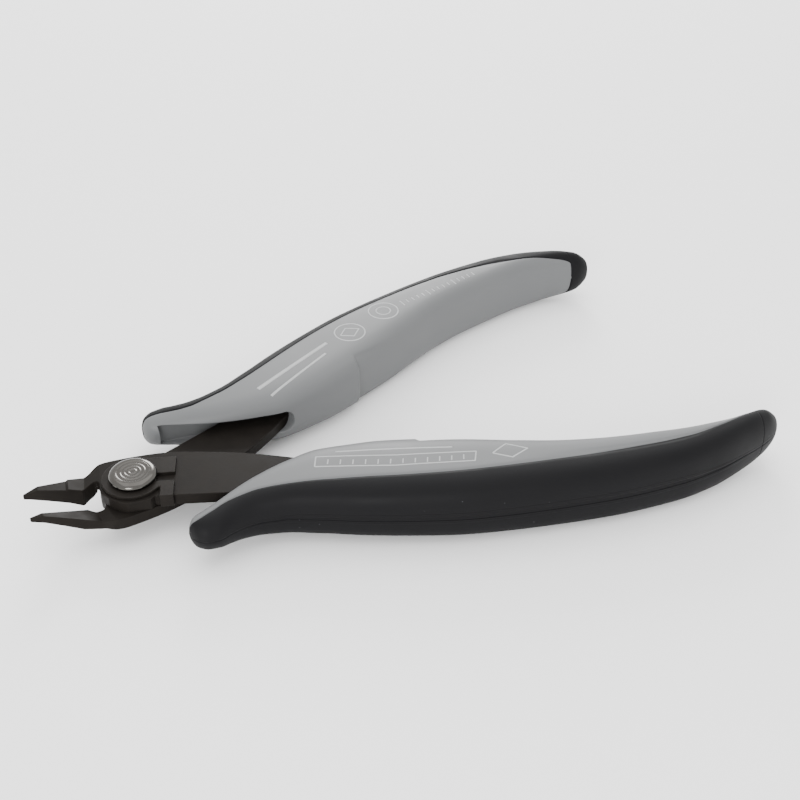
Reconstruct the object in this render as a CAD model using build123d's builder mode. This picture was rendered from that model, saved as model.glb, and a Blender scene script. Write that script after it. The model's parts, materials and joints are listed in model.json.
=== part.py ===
"""Flush cutter for electronics work: two lapped steel blades on one rivet, with two-colour moulded grips.

Millimetres. +X runs from the jaws to the tails of the grips and +Z is up. The cutter lies open on its
grips, and the origin is the middle of the rectangle that it covers on the table.

Each half is drawn closed, about the rivet, and then turned open. The upper half carries the rear jaw and
the front grip (-Y). The lower half is its mirror image in plan, one blade thickness lower at the joint.
"""

import os
from math import cos, radians, sin

from build123d import *

os.makedirs("parts", exist_ok=True)

# Driving dimensions
HALF_OPEN_DEG = 9.0  # each half turns this far from closed to open
BLADE_T = 2.2  # thickness of one blade in the lap joint
LAP_GAP = 0.04  # oil film between the lapped faces
GRIP_HALF_T = 6.4  # half the thickness of a grip
PIVOT_X = -48.12  # the rivet, measured from the middle of the open cutter
PIVOT_Z = GRIP_HALF_T  # the lap plane runs half way up the grips

# Jaws and joint disc, on the closed half
TIP_X = -18.7
HEEL_X = -8.9
EDGE_GAP = 0.03  # half the gap between the closed cutting edges
DISC_R = 6.55
DISC_CLEARANCE = 0.2

# Rivet, washer and retaining plate
SHANK_R = 2.5
RUNNING_FIT = 0.03
HEAD_R = 4.25
HEAD_T = 1.3
HEAD_ROUND = 0.6
RING_RADII = (0.8, 1.55, 2.3, 3.05)  # middles of the turned rings on the head
RING_WIDTH = 0.3
RING_DEPTH = 0.12
TAIL_R = 3.3
TAIL_T = 0.8
WASHER_R = 4.3
WASHER_T = 0.6
PLATE_T = 0.65
PLATE_R = 5.5
PLATE_DEG = -10.0  # the plate points along the tang
PLATE_LEG_X = 7.25
LUG_T = 0.65
LUG_Y = -4.95  # inner face of the folded lug, on the edge of the upper blade
LUG_LEFT = 4.9

# Return spring, coiled round the rivet inside the lap joint
WIRE_R = 0.3
COIL_R = 3.1
COIL_RISE = 1.0
COIL_TURNS = 1.0 + (180.0 - 2.0 * HALF_OPEN_DEG) / 360.0
SPRING_LEG = 8.0
POCKET_R = 3.7
POCKET_DEPTH = 0.95

# Grips
GRIP_ROUND = 2.0
MOUTH_HALF_T = 2.35
BEYOND = 40.0  # well outside a grip on every side

FRONT, REAR = 1, -1  # the half whose grip lies at -Y, and its mirror image
SIDE_NAMES = {FRONT: "front", REAR: "rear"}

# Each blade from the side: (x, z) from inside the grip to the tip. The jaws rise at about 21 degrees
UPPER_TOP = [
    (85, BLADE_T),
    (-5.6, BLADE_T),
    (-8.5, 1.5),
    (-11.2, 2.5),
    (-11.5, 2.3),
    (-16.2, 3.4),
    (-19.3, 2.6),
]
UPPER_BOTTOM = [
    (85, LAP_GAP / 2),
    (-5.9, LAP_GAP / 2),
    (-7.2, -1.3),
    (-9.2, -1.75),
    (-11.3, -0.65),
    (-14.6, 0.6),
    (-17.6, 1.65),
    (-19.3, 2.1),
]
LOWER_TOP = [
    (85, -LAP_GAP / 2),
    (-6.0, -LAP_GAP / 2),
    (-7.8, -0.7),
    (-9.1, -0.3),
    (-12.8, 1.2),
    (-16.6, 2.7),
    (-19.3, 2.6),
]
LOWER_BOTTOM = [
    (85, -BLADE_T),
    (-5.6, -BLADE_T),
    (-8.2, -2.4),
    (-10.9, -1.8),
    (-13.9, -0.2),
    (-16.6, 1.2),
    (-19.3, 2.1),
]

# Outlines of the closed front half, seen from above: its jaw is at +Y and its tang and grip at -Y
JAW_OUTER = [(TIP_X, 0.45), (-16.6, 1.15), (-12.0, 2.6), (-9.4, 3.5)]
NECK_OUTER = [(-9.4, 3.5), (-7.7, 4.2), (-6.4, 5.5), (-5.0, 6.15), (-2.3, 6.42), (1.0, 6.5)]
TANG_INNER = [(1.0, 6.5), (6.6, 6.1), (13.2, 4.4), (19.7, 2.2), (25.5, -0.3), (32.0, -3.6)]
BAR_INNER = [(32.0, -3.6), (40.0, -7.4), (52.0, -11.0), (64.0, -13.2), (74.0, -14.2)]
BAR_OUTER = [(74.0, -16.6), (64.0, -16.0), (52.0, -14.8), (40.0, -12.9), (31.0, -11.3)]
TANG_OUTER = [(31.0, -11.3), (13.5, -7.55), (3.1, -5.4)]
BELLY = [(3.1, -5.4), (2.3, -6.2), (-1.7, -6.15), (-2.9, -5.5), (-4.6, -3.9)]
THROAT = [(-5.95, -1.0), (-5.85, 0.6), (-6.5, 1.6), (-7.6, 1.2), (HEEL_X, EDGE_GAP)]
GRIP_OUTER = [
    (12.6, -17.15),
    (14.6, -16.25),
    (17.0, -15.35),
    (20.0, -14.9),
    (23.5, -15.05),
    (30.2, -16.8),
    (45.3, -21.4),
    (56.2, -23.8),
    (70.8, -25.3),
    (82.1, -25.7),
    (94.1, -25.0),
    (107.0, -21.6),
]
GRIP_INNER = [
    (108.0, -14.1),
    (98.5, -15.4),
    (90.0, -15.0),
    (83.0, -14.2),
    (75.0, -12.7),
    (67.4, -10.4),
    (56.8, -6.8),
    (48.3, -4.4),
    (40.9, -2.8),
    (32.5, -2.2),
    (26.6, -3.6),
    (20.0, -6.0),
    (13.9, -9.0),
]
NOSE = ((11.2, -13.9), 3.6)  # centre and radius of the rounded front end
TAIL = ((115.1, -15.6), 3.4)  # and of the rounded tail
GRIP_TOP = [  # half the thickness along a grip: its nose and tail are thinner than its middle
    (5.0, 2.2),
    (9.0, 3.2),
    (12.5, 3.8),
    (16.0, 4.4),
    (20.0, 4.95),
    (26.0, 5.6),
    (34.0, 6.15),
    (44.0, 6.6),
    (56.0, 6.8),
    (90.0, 6.8),
    (104.0, 6.3),
    (112.0, 5.6),
    (116.0, 4.8),
    (121.0, 3.2),
]
# The seam between hard body and soft cushion. Both grips come from one mould, so that the rear grip shows
# the face that the front grip turns to the table, where the seam runs nearer to the outer side
FRONT_SEAM = [
    (-5.0, -15.5),
    (8.3, -14.5),
    (11.6, -13.4),
    (14.5, -12.1),
    (17.5, -11.5),
    (20.2, -11.2),
    (23.0, -11.4),
    (28.4, -12.2),
    (33.8, -13.4),
    (44.4, -15.95),
    (55.3, -18.0),
    (66.7, -19.2),
    (78.3, -20.0),
    (90.0, -20.1),
    (97.1, -19.75),
    (103.5, -18.2),
    (109.0, -15.9),
    (112.3, -12.8),
    (113.2, -4.0),
]
REAR_SEAM = [
    (-5.0, -15.5),
    (8.6, -14.7),
    (11.2, -14.1),
    (13.2, -13.2),
    (15.2, -12.3),
    (17.6, -11.75),
    (22.6, -11.9),
    (28.4, -13.0),
    (34.7, -14.8),
    (41.1, -16.75),
    (47.9, -18.6),
    (54.4, -20.0),
    (60.9, -21.0),
    (67.4, -21.6),
    (73.8, -22.0),
    (80.2, -22.1),
    (86.5, -21.7),
    (92.5, -20.9),
    (98.2, -19.5),
    (106.3, -16.8),
    (111.8, -14.4),
    (113.2, -4.0),
]
MOUTH = [
    (9.6, -6.0),
    (9.9, -13.0),
    (14.0, -11.8),
    (18.0, -10.6),
    (22.0, -10.5),
    (32.0, -11.7),
    (33.4, -7.0),
    (33.2, 2.0),
]


def flip(points, side):
    """Points of the closed front half, or of its mirror image."""
    return [(x, side * y) for x, y in points]


def half_plane(side, height=0.0):
    """The plane of one closed half, turned open about the rivet, at a height over the lap plane."""
    turn = radians(-side * HALF_OPEN_DEG)
    return Plane(
        origin=(PIVOT_X, 0, PIVOT_Z + height),
        x_dir=(cos(turn), sin(turn), 0),
        z_dir=(0, 0, 1),
    )


def side_plane(side):
    """The upright plane through the centre line of one half, for outlines in x and z."""
    flat = half_plane(side)
    return Plane(origin=flat.origin, x_dir=flat.x_dir, z_dir=-flat.y_dir)


def blade_plan(side):
    """Lines round a whole blade: jaw, neck, joint disc, tang, and the bar inside the grip."""
    Polyline(*flip(JAW_OUTER, side))
    Spline(*flip(NECK_OUTER, side), tangents=flip([(1.0, 0.3), (1.0, 0.0)], side))
    Spline(*flip(TANG_INNER, side), tangents=flip([(1.0, 0.0), (0.88, -0.48)], side))
    Spline(*flip(BAR_INNER, side), tangents=flip([(0.88, -0.48), (1.0, -0.05)], side))
    Line(*flip([BAR_INNER[-1], BAR_OUTER[0]], side))
    Spline(*flip(BAR_OUTER, side), tangents=flip([(-1.0, 0.05), (-0.98, 0.21)], side))
    Polyline(*flip(TANG_OUTER, side))
    Polyline(*flip(BELLY, side))
    Spline(*flip([BELLY[-1], *THROAT], side), tangents=flip([(-0.45, 0.9), (-0.8, -0.9)], side))
    Polyline(*flip([(HEEL_X, EDGE_GAP), (TIP_X, EDGE_GAP), (TIP_X, 0.45)], side))


def blade_profile(top, bottom):
    """Lines round a blade from the side: its top edge and its bottom edge are both drawn from tail to tip."""
    Polyline(*top, *reversed(bottom), close=True)


def arc_points(circle, angles):
    """Points at some angles of a circle, given as its centre and radius."""
    (x, y), radius = circle
    return [(x + radius * cos(radians(angle)), y + radius * sin(radians(angle))) for angle in angles]


def grip_plan(side):
    """The line round a whole grip: round its nose, along the outer side, round the tail and back."""
    nose = arc_points(NOSE, range(135, 256, 30))
    tail = arc_points(TAIL, range(-75, 106, 30))
    Spline(*flip([*nose, *GRIP_OUTER, *tail, *GRIP_INNER], side), periodic=True)


def whole_grip(side, floor):
    """A whole grip before it is divided into body and cushion, rounded along its top and bottom edges."""
    with BuildPart() as grip:
        with BuildSketch(floor):
            with BuildLine():
                grip_plan(side)
            make_face()
        extrude(amount=2 * GRIP_HALF_T)
        rims = grip.edges().group_by(Axis.Z)
        fillet(rims[0] + rims[-1], radius=GRIP_ROUND)
        with BuildSketch(side_plane(side)):
            with BuildLine():
                Spline(*GRIP_TOP)
                Line(GRIP_TOP[-1], flip(GRIP_TOP, -1)[-1])
                Spline(*reversed(flip(GRIP_TOP, -1)))
                Line(flip(GRIP_TOP, -1)[0], GRIP_TOP[0])
            make_face()
        extrude(amount=BEYOND, both=True, mode=Mode.INTERSECT)
    return grip.part


# --- blades ------------------------------------------------------------------------------------------

with BuildPart() as upper_blade:
    with BuildSketch(half_plane(FRONT, -5)):
        with BuildLine():
            blade_plan(FRONT)
        make_face()
    extrude(amount=10)
    with BuildSketch(side_plane(FRONT)):
        with BuildLine():
            blade_profile(UPPER_TOP, UPPER_BOTTOM)
        make_face()
    extrude(amount=30, both=True, mode=Mode.INTERSECT)
    with BuildSketch(half_plane(FRONT, -5)):
        Circle(DISC_R + DISC_CLEARANCE)
    extrude(amount=5 + LAP_GAP / 2, mode=Mode.SUBTRACT)
    with BuildSketch(half_plane(FRONT)):
        Circle(SHANK_R)
    extrude(amount=BLADE_T, mode=Mode.SUBTRACT)
    with BuildSketch(half_plane(FRONT)):
        Circle(POCKET_R)
        with Locations(((SPRING_LEG + 0.6) / 2, -COIL_R)):
            Rectangle(SPRING_LEG + 0.6, 4 * WIRE_R)
    extrude(amount=POCKET_DEPTH, mode=Mode.SUBTRACT)
upper_blade.part.label = "upper_blade"
export_step(upper_blade.part, "parts/upper_blade.step")

with BuildPart() as lower_blade:
    with BuildSketch(half_plane(REAR, -5)):
        with BuildLine():
            blade_plan(REAR)
        make_face()
    extrude(amount=10)
    with BuildSketch(side_plane(REAR)):
        with BuildLine():
            blade_profile(LOWER_TOP, LOWER_BOTTOM)
        make_face()
    extrude(amount=30, both=True, mode=Mode.INTERSECT)
    with BuildSketch(half_plane(REAR, -LAP_GAP / 2)):
        Circle(DISC_R + DISC_CLEARANCE)
    extrude(amount=5, mode=Mode.SUBTRACT)
    with BuildSketch(half_plane(REAR, -BLADE_T)):
        Circle(SHANK_R + RUNNING_FIT)
    extrude(amount=BLADE_T, mode=Mode.SUBTRACT)
    with BuildSketch(half_plane(REAR, -POCKET_DEPTH)):
        Circle(POCKET_R)
        with Locations(((SPRING_LEG + 0.6) / 2, COIL_R)):
            Rectangle(SPRING_LEG + 0.6, 4 * WIRE_R)
    extrude(amount=POCKET_DEPTH, mode=Mode.SUBTRACT)
lower_blade.part.label = "lower_blade"
export_step(lower_blade.part, "parts/lower_blade.step")

# --- joint -------------------------------------------------------------------------------------------

stack_top = BLADE_T + PLATE_T
stack_bottom = -BLADE_T - LAP_GAP / 2 - WASHER_T

with BuildPart() as pivot_rivet:
    with BuildSketch(half_plane(FRONT, stack_bottom)):
        Circle(SHANK_R)
    extrude(amount=stack_top - stack_bottom)
    with BuildSketch(half_plane(FRONT, stack_bottom - TAIL_T)):
        Circle(TAIL_R)
    extrude(amount=TAIL_T)
    chamfer(pivot_rivet.edges().group_by(Axis.Z)[0], length=0.3)
    with BuildSketch(half_plane(FRONT, stack_top)):
        Circle(HEAD_R)
    extrude(amount=HEAD_T)
    fillet(pivot_rivet.edges().group_by(Axis.Z)[-1], radius=HEAD_ROUND)
    with BuildSketch(half_plane(FRONT, stack_top + HEAD_T - RING_DEPTH)):
        for radius in RING_RADII:
            Circle(radius + RING_WIDTH / 2)
            Circle(radius - RING_WIDTH / 2, mode=Mode.SUBTRACT)
    extrude(amount=1, mode=Mode.SUBTRACT)
pivot_rivet.part.label = "pivot_rivet"
export_step(pivot_rivet.part, "parts/pivot_rivet.step")

with BuildPart() as rivet_washer:
    with BuildSketch(half_plane(FRONT, stack_bottom)):
        Circle(WASHER_R)
        Circle(SHANK_R, mode=Mode.SUBTRACT)
    extrude(amount=WASHER_T)
rivet_washer.part.label = "rivet_washer"
export_step(rivet_washer.part, "parts/rivet_washer.step")

plate_plane = half_plane(FRONT, BLADE_T).rotated((0, 0, PLATE_DEG))
with BuildPart() as retaining_plate:
    with BuildSketch(plate_plane):
        Circle(PLATE_R)
        with Locations((PLATE_LEG_X / 2, 2.85)):
            Rectangle(PLATE_LEG_X, 4.4)
        with Locations((PLATE_LEG_X / 2, -2.3)):
            Rectangle(PLATE_LEG_X, 1.5)
        with Locations(((LUG_LEFT + PLATE_LEG_X) / 2, (LUG_Y - LUG_T - 2.3) / 2)):
            Rectangle(PLATE_LEG_X - LUG_LEFT, -LUG_Y + LUG_T - 2.3)
        with Locations((6.0, -0.45)):
            Rectangle(4.0, 2.2, mode=Mode.SUBTRACT)
        Circle(SHANK_R, mode=Mode.SUBTRACT)
    extrude(amount=PLATE_T)
    with BuildSketch(plate_plane.offset(-BLADE_T + 0.3)):
        with Locations(((LUG_LEFT + PLATE_LEG_X) / 2, LUG_Y - LUG_T / 2)):
            Rectangle(PLATE_LEG_X - LUG_LEFT, LUG_T)
    extrude(amount=BLADE_T)
retaining_plate.part.label = "retaining_plate"
export_step(retaining_plate.part, "parts/retaining_plate.step")

coil_turn = radians(90 + HALF_OPEN_DEG)
coil_plane = Plane(
    origin=(PIVOT_X, 0, PIVOT_Z - COIL_RISE / 2),
    x_dir=(cos(coil_turn), sin(coil_turn), 0),
    z_dir=(0, 0, 1),
)
with BuildPart() as return_spring:
    with BuildLine(coil_plane) as coil:
        Helix(pitch=COIL_RISE / COIL_TURNS, height=COIL_RISE, radius=COIL_R)
    with BuildSketch(Plane(origin=coil.line @ 0, z_dir=coil.line % 0)):
        Circle(WIRE_R)
    sweep()
    for leg_side, leg_height in ((FRONT, COIL_RISE / 2), (REAR, -COIL_RISE / 2)):
        flat = half_plane(leg_side, leg_height)
        start = flat.origin - flat.y_dir * leg_side * COIL_R
        with BuildSketch(Plane(origin=start, z_dir=flat.x_dir)):
            Circle(WIRE_R)
        extrude(amount=SPRING_LEG)
return_spring.part.label = "return_spring"
export_step(return_spring.part, "parts/return_spring.step")

# --- grips -------------------------------------------------------------------------------------------

for side, blade, seam in ((FRONT, upper_blade, FRONT_SEAM), (REAR, lower_blade, REAR_SEAM)):
    name = SIDE_NAMES[side]
    grip_floor = half_plane(side, -GRIP_HALF_T)
    grip = whole_grip(side, grip_floor)

    with BuildPart() as grip_body:
        add(grip)
        with BuildSketch(grip_floor):
            with BuildLine():
                Spline(*flip(seam, side))
                around = [seam[-1], (seam[-1][0] + BEYOND, BEYOND), (seam[0][0], BEYOND), seam[0]]
                Polyline(*flip(around, side))
            make_face()
        extrude(amount=2 * GRIP_HALF_T, mode=Mode.INTERSECT)
        with BuildSketch(half_plane(side, -MOUTH_HALF_T)):
            with BuildLine():
                Polyline(*flip(MOUTH, side), close=True)
            make_face()
        extrude(amount=2 * MOUTH_HALF_T, mode=Mode.SUBTRACT)
        add(blade.part, mode=Mode.SUBTRACT)
    grip_body.part.label = f"{name}_grip_body"
    export_step(grip_body.part, f"parts/{name}_grip_body.step")

    with BuildPart() as grip_cushion:
        add(grip)
        with BuildSketch(grip_floor):
            with BuildLine():
                Spline(*flip(seam, side))
                around = [seam[-1], (seam[-1][0] + BEYOND, -BEYOND), (seam[0][0], -BEYOND), seam[0]]
                Polyline(*flip(around, side))
            make_face()
        extrude(amount=2 * GRIP_HALF_T, mode=Mode.INTERSECT)
    grip_cushion.part.label = f"{name}_grip_cushion"
    export_step(grip_cushion.part, f"parts/{name}_grip_cushion.step")
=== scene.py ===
"""Looks of a flush cutter: blackened blades, a turned rivet and two-colour moulded grips."""

import json
import logging
import math
from dataclasses import dataclass, field
from enum import Enum, IntEnum
from typing import Callable

import bmesh
import bpy
import numpy as np
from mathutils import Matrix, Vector


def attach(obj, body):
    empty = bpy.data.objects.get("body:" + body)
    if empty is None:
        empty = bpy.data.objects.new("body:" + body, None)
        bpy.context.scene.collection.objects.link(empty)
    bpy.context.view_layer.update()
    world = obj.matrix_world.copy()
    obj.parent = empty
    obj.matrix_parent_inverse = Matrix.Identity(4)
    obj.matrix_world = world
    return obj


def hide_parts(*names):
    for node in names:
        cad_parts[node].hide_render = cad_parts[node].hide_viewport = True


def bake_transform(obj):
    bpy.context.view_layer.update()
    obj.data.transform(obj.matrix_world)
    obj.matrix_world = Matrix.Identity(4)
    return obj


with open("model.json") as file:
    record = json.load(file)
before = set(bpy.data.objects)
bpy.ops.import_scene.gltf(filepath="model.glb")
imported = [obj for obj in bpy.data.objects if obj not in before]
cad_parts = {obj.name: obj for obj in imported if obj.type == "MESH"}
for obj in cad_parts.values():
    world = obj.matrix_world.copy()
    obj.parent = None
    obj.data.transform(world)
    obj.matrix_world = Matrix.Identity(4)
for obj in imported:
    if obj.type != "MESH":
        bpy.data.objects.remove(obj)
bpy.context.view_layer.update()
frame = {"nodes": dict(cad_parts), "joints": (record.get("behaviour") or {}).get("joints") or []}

log = logging.getLogger("flush_cutter")

MM = 0.001
HALF_OPEN = math.radians(9.0)  # each half is turned this far open at rest
PIVOT = frame["joints"][0]["pos_m"]
DOUBLED = 1e-7  # corners of a new mesh that are nearer than this, in metres, are one corner
NODE_DOUBLED = 2e-6  # the same for a copied CAD node
COPLANAR = math.radians(0.6)  # faces of a copied node that turn less than this are one face
SHARP = math.radians(14.0)  # edges of a copied node that turn more than this are bevelled
TINY = 1e-6
Array = np.ndarray
Curve = tuple[tuple[float, float], ...]
Color = tuple[float, float, float]
Span = tuple[float, float]


class Side(IntEnum):
    """The two halves, named by where their grips lie; the value is the sign of the mirror image."""

    FRONT = 1
    REAR = -1

    @property
    def word(self) -> str:
        """The half's name as the CAD nodes spell it."""
        return "front" if self is Side.FRONT else "rear"

    @property
    def body(self) -> str:
        """The CAD body that carries this half's grip."""
        return "upper_half" if self is Side.FRONT else "lower_half"


class Slot(Enum):
    """The record's material slots."""

    BLADE = "blade_steel"
    RIVET = "rivet_steel"
    SPRING = "spring_steel"
    PLASTIC = "grip_plastic"
    RUBBER = "grip_rubber"


# --- geometry helpers --------------------------------------


def to_world(closed: Array, side: Side) -> Array:
    """Turns points of a closed half, in millimetres about the rivet, into the open cutter in metres.

    The point is mirrored in y for the rear half, turned by the half opening about the rivet, and moved
    to the rivet's place.

    Args:
        closed: Points (..., 3) drawn for the front half, whose grip is at -y.
        side: Which half they belong to.

    Returns:
        Points (..., 3) in the row frame.
    """
    x = closed[..., 0]
    y = closed[..., 1] * side
    turn = -side * HALF_OPEN
    out = np.empty_like(closed)
    out[..., 0] = (x * math.cos(turn) - y * math.sin(turn)) * MM + PIVOT[0]
    out[..., 1] = (x * math.sin(turn) + y * math.cos(turn)) * MM + PIVOT[1]
    out[..., 2] = closed[..., 2] * MM + PIVOT[2]
    return out


def smoothstep(low: float, high: float, value: Array) -> Array:
    """Cubic ramp from 0 at low to 1 at high: t * t * (3 - 2 t) of the share t of the way."""
    t = np.clip((value - low) / (high - low), 0.0, 1.0)
    return t * t * (3.0 - 2.0 * t)


def spline_through(points: Curve) -> Callable[[Array], Array]:
    """A smooth curve y(x) through points in rising x, as a cubic with monotone-limited slopes.

    Each span is the Hermite cubic of its two ends, and the slope at a point is the harmonic mean of the
    slopes of the spans beside it, or zero where they differ in sign.

    Args:
        points: The (x, y) points.

    Returns:
        A function of an array of x.
    """
    px, py = np.array(points, float).T
    h = np.diff(px)
    d = np.diff(py) / h
    product, total = d[1:] * d[:-1], d[1:] + d[:-1]
    inner = np.where(product > 0, 2 * product / np.where(total == 0, 1, total), 0)
    m = np.concatenate([[d[0]], inner, [d[-1]]])

    def curve(x: Array) -> Array:
        """The curve, held level beyond its ends.

        Args:
            x: Places.

        Returns:
            The y at each.
        """
        x = np.clip(x, px[0], px[-1])
        i = np.clip(np.searchsorted(px, x, side="right") - 1, 0, len(h) - 1)
        t = (x - px[i]) / h[i]
        a = (1 + 2 * t) * (1 - t) ** 2 * py[i] + t**2 * (3 - 2 * t) * py[i + 1]
        return a + h[i] * (t * (1 - t) ** 2 * m[i] + t**2 * (t - 1) * m[i + 1])

    return curve


def make_object(name: str, points: Array, faces: Array, smooth: bool = True) -> bpy.types.Object:
    """Puts points and faces into a mesh object at the origin.

    Args:
        name: The object's name.
        points: (n, 3) places in metres.
        faces: (m, 4) corner numbers; a repeated corner makes a triangle.
        smooth: Whether faces are shaded smooth.

    Returns:
        The new object, linked to the scene, with doubled corners merged and normals outwards.
    """
    mesh = bpy.data.meshes.new(name)
    mesh.from_pydata(points.reshape(-1, 3).tolist(), [], faces.tolist())
    work = bmesh.new()
    work.from_mesh(mesh)
    bmesh.ops.remove_doubles(work, verts=work.verts, dist=DOUBLED)
    bmesh.ops.dissolve_degenerate(work, edges=work.edges, dist=DOUBLED / 10)
    bmesh.ops.recalc_face_normals(work, faces=work.faces)
    work.to_mesh(mesh)
    work.free()
    mesh.validate()
    mesh.polygons.foreach_set("use_smooth", np.full(len(mesh.polygons), smooth))
    thing = bpy.data.objects.new(name, mesh)
    bpy.context.scene.collection.objects.link(thing)
    return thing


def grid_faces(rows: int, columns: int, wrap: bool) -> Array:
    """Quads of a grid whose corners are numbered row by row.

    Args:
        rows: Number of rows of points.
        columns: Number of points in a row.
        wrap: Whether the last column joins the first.

    Returns:
        (m, 4) corner numbers.
    """
    r, c = np.meshgrid(np.arange(rows - 1), np.arange(columns if wrap else columns - 1), indexing="ij")
    n = (c + 1) % columns
    quads = [r * columns + c, r * columns + n, (r + 1) * columns + n, (r + 1) * columns + c]
    return np.stack(quads, -1).reshape(-1, 4)


def softened(node: bpy.types.Object, width: float) -> bpy.types.Object:
    """A copy of a CAD node whose sharp edges are broken by a small bevel, as tumbling leaves them.

    Args:
        node: The CAD node; it isn't changed.
        width: Width of the bevel, in metres.

    Returns:
        The copy, merged into one closed mesh, with a Bevel modifier on its sharp edges.
    """
    mesh = node.data.copy()
    mesh.transform(node.matrix_world)
    work = bmesh.new()
    work.from_mesh(mesh)
    bmesh.ops.remove_doubles(work, verts=work.verts, dist=NODE_DOUBLED)
    bmesh.ops.dissolve_limit(work, angle_limit=COPLANAR, verts=work.verts, edges=work.edges)
    work.to_mesh(mesh)
    work.free()
    mesh.polygons.foreach_set("use_smooth", np.full(len(mesh.polygons), True))
    thing = bpy.data.objects.new(f"{node.name}_softened", mesh)
    bpy.context.scene.collection.objects.link(thing)
    bevel = thing.modifiers.new("broken_edges", "BEVEL")
    bevel.width = width
    bevel.segments = 2
    bevel.limit_method = "ANGLE"
    bevel.angle_limit = SHARP
    bevel.use_clamp_overlap = False
    weighted = thing.modifiers.new("flat_faces", "WEIGHTED_NORMAL")
    weighted.weight = 100
    return thing


def closed_grid(name: str, loops: Array) -> bpy.types.Object:
    """A closed surface from loops of points, whose end loops are each drawn together to their middle.

    Args:
        name: The object's name.
        loops: Points (rows, columns, 3) in metres; the last column joins the first.

    Returns:
        The new object.
    """
    loops = loops.copy()
    loops[0] = loops[0].mean(0)
    loops[-1] = loops[-1].mean(0)
    return make_object(name, loops, grid_faces(loops.shape[0], loops.shape[1], True))


# --- the shape of a grip -----------------------------------


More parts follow.
